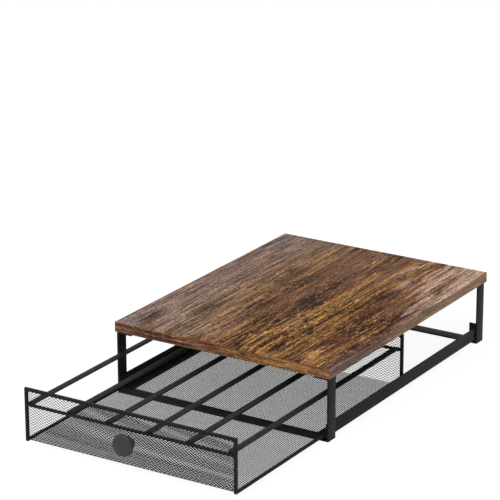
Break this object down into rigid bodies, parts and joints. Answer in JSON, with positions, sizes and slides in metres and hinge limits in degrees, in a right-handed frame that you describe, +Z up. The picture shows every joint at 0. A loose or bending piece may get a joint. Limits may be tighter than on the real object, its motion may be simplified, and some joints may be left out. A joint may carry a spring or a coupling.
{
  "type": "coffee pod drawer",
  "caption": "Steel stand with a wood-look top board and a sliding wire-mesh drawer that holds coffee pods in rows between flat strips, opened by a round knob.",
  "frame": {"origin": "centre of the front cross strap's underside, on the table", "axes": "+X to the right as seen from the front, +Y from the drawer's knob towards the back, +Z up"},
  "size_m": [0.288, 0.5759, 0.088],
  "materials": {
    "board_laminate": "satin wood-look laminate",
    "black_steel": "fine black powder coat",
    "mesh_wire": "black coated expanded steel mesh",
    "knob_plastic": "matte dark grey",
    "zinc_screw": "zinc plated"
  },
  "bodies": {
    "stand": {"top_board": "board_laminate", "front_cross_strap": "black_steel", "rear_cross_strap": "black_steel", "front_left_leg": "black_steel", "front_right_leg": "black_steel", "rear_left_leg": "black_steel", "rear_right_leg": "black_steel", "left_runner": "black_steel", "right_runner": "black_steel", "left_rear_stop": "black_steel", "right_rear_stop": "black_steel", "board_screws": "zinc_screw"},
    "drawer": {"front_top_bar": "black_steel", "front_mid_bar": "black_steel", "front_left_post": "black_steel", "front_right_post": "black_steel", "rear_top_bar": "black_steel", "rear_mid_bar": "black_steel", "rear_left_post": "black_steel", "rear_right_post": "black_steel", "left_bottom_bar": "black_steel", "right_bottom_bar": "black_steel", "pod_strip_1": "black_steel", "pod_strip_2": "black_steel", "pod_strip_3": "black_steel", "pod_strip_4": "black_steel", "pod_strip_5": "black_steel", "pod_strip_6": "black_steel", "mesh_floor": "mesh_wire", "mesh_front_lower": "mesh_wire", "mesh_front_upper": "mesh_wire", "mesh_rear_lower": "mesh_wire", "mesh_rear_upper": "mesh_wire", "knob": "knob_plastic", "knob_washer": "zinc_screw", "knob_screw": "zinc_screw"}
  },
  "joints": [
    {"name": "drawer_slide", "type": "slide", "parent": "stand", "child": "drawer", "axis": [0, -1, 0], "range_m": [-0.178, 0.06]}
  ]
}
